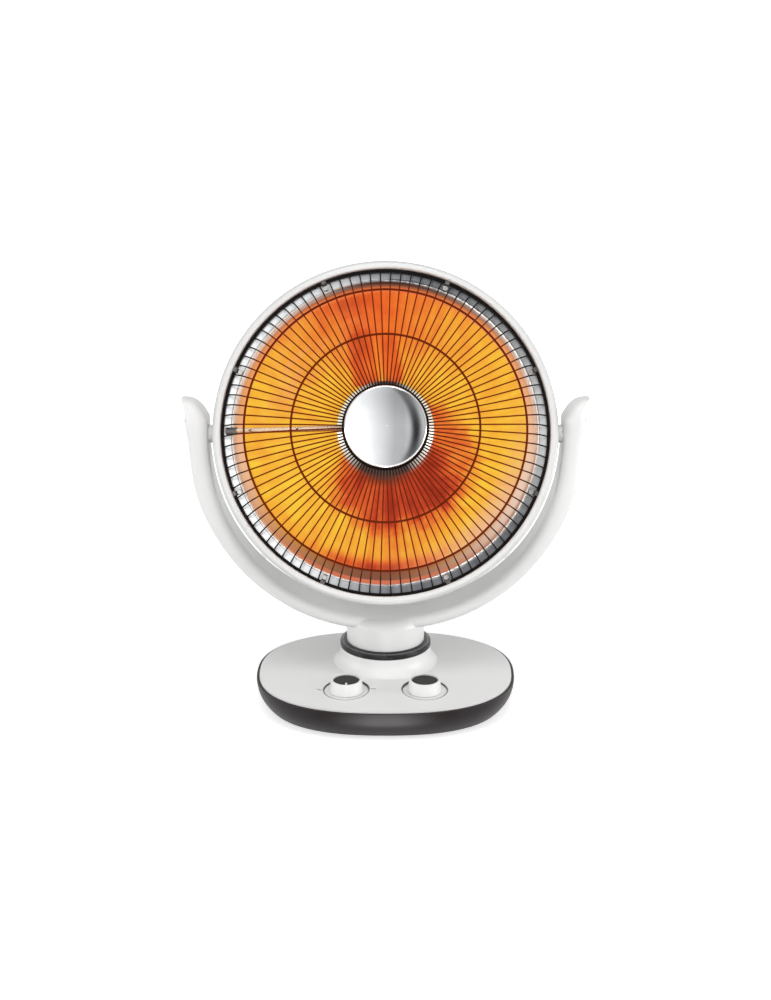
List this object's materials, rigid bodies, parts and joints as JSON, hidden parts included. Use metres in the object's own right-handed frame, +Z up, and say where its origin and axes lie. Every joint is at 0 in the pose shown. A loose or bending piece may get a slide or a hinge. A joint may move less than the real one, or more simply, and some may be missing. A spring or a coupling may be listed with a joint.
{
  "type": "dish radiant heater",
  "caption": "Tabletop radiant heater with a tilting round reflector head behind a wire guard, held in a U-shaped yoke that swivels on an oval base with two control knobs",
  "frame": {"origin": "centre of the base's outline, on the surface that its feet stand on", "axes": "+Z up, the head faces -Y, +X to the right as seen from the front"},
  "size_m": [0.414, 0.22, 0.4571],
  "materials": {
    "white_plastic": "satin moulded",
    "charcoal_plastic": "fine textured moulded",
    "grey_plastic": "satin moulded",
    "natural_plastic": "machined gear plastic",
    "black_rubber": "matt",
    "zinc_steel": "zinc plated",
    "ballast_iron": "as cast",
    "polished_reflector": "mirror polished",
    "black_enamel": "black enamel",
    "polished_steel": "polished",
    "ceramic": "unglazed",
    "resistance_wire": "oxidised"
  },
  "bodies": {
    "base": {"base_tray": "charcoal_plastic", "base_cover": "white_plastic", "pivot_collar": "grey_plastic", "rubber_feet": "black_rubber", "base_screws": "zinc_steel", "ballast_plate": "ballast_iron", "terminal_block": "natural_plastic", "cord_gland": "black_rubber", "plunger_guide": "zinc_steel", "plunger_spring": "zinc_steel", "tip_switch": "charcoal_plastic", "swing_motor": "zinc_steel", "swivel_washer": "natural_plastic", "heat_switch": "charcoal_plastic", "timer_unit": "charcoal_plastic"},
    "yoke": {"yoke_front": "white_plastic", "yoke_rear": "white_plastic", "left_horn": "white_plastic", "right_horn": "white_plastic", "swivel_hub": "natural_plastic", "hub_retainer": "zinc_steel", "sector_gear": "natural_plastic", "pivot_bushes": "natural_plastic", "yoke_screws": "zinc_steel", "neck_screws": "zinc_steel"},
    "head": {"front_bezel": "white_plastic", "rear_housing": "white_plastic", "housing_screws": "zinc_steel", "reflector_dish": "polished_reflector", "guard_wires": "black_enamel", "guard_rings": "black_enamel", "guard_hub_plate": "black_enamel", "guard_clips": "zinc_steel", "clip_screws": "zinc_steel", "element_cap": "polished_steel", "element_cup": "polished_reflector", "element_core": "ceramic", "heating_coil": "resistance_wire", "element_socket": "ceramic", "element_rod": "zinc_steel", "rod_nut": "zinc_steel", "support_stay": "polished_steel", "stay_clamp": "black_enamel", "thermal_cutout": "zinc_steel", "head_terminal": "ceramic", "pivot_pins": "zinc_steel", "pivot_nuts": "zinc_steel"},
    "heat_knob": {"heat_knob": "white_plastic", "heat_knob_insert": "charcoal_plastic", "heat_shaft": "zinc_steel"},
    "timer_knob": {"timer_knob": "white_plastic", "timer_knob_insert": "charcoal_plastic", "timer_shaft": "zinc_steel"},
    "tip_plunger": {"tip_plunger": "charcoal_plastic"},
    "pinion": {"drive_pinion": "natural_plastic", "motor_shaft": "zinc_steel"}
  },
  "joints": [
    {"name": "yoke_swivel", "type": "hinge", "parent": "base", "child": "yoke", "pos_m": [0, 0.018, 0.057], "axis": [0, 0, 1], "range_deg": [-35, 35]},
    {"name": "pinion_turn", "type": "hinge", "parent": "base", "child": "pinion", "pos_m": [0, 0.063, 0.032], "axis": [0, 0, 1], "range_deg": [-141, 141]},
    {"name": "head_tilt", "type": "hinge", "parent": "yoke", "child": "head", "pos_m": [0, 0.018, 0.2875], "axis": [-1, 0, 0], "range_deg": [-26.5, 13.5]},
    {"name": "heat_knob_turn", "type": "hinge", "parent": "base", "child": "heat_knob", "pos_m": [-0.04, -0.0585, 0.03635], "axis": [0, -0.0262, 0.9997], "range_deg": [-135, 135]},
    {"name": "timer_knob_turn", "type": "hinge", "parent": "base", "child": "timer_knob", "pos_m": [0.04, -0.0585, 0.03635], "axis": [0, -0.0262, 0.9997], "range_deg": [-300, 0]},
    {"name": "plunger_slide", "type": "slide", "parent": "base", "child": "tip_plunger", "axis": [0, 0, -1], "range_m": [0, 0.004], "stiffness_N_per_m": 60, "springref_m": 0.006, "deforming": ["plunger_spring"]}
  ],
  "couplings": [
    {"joint": "pinion_turn", "follows": "yoke_swivel", "ratio": -4}
  ]
}
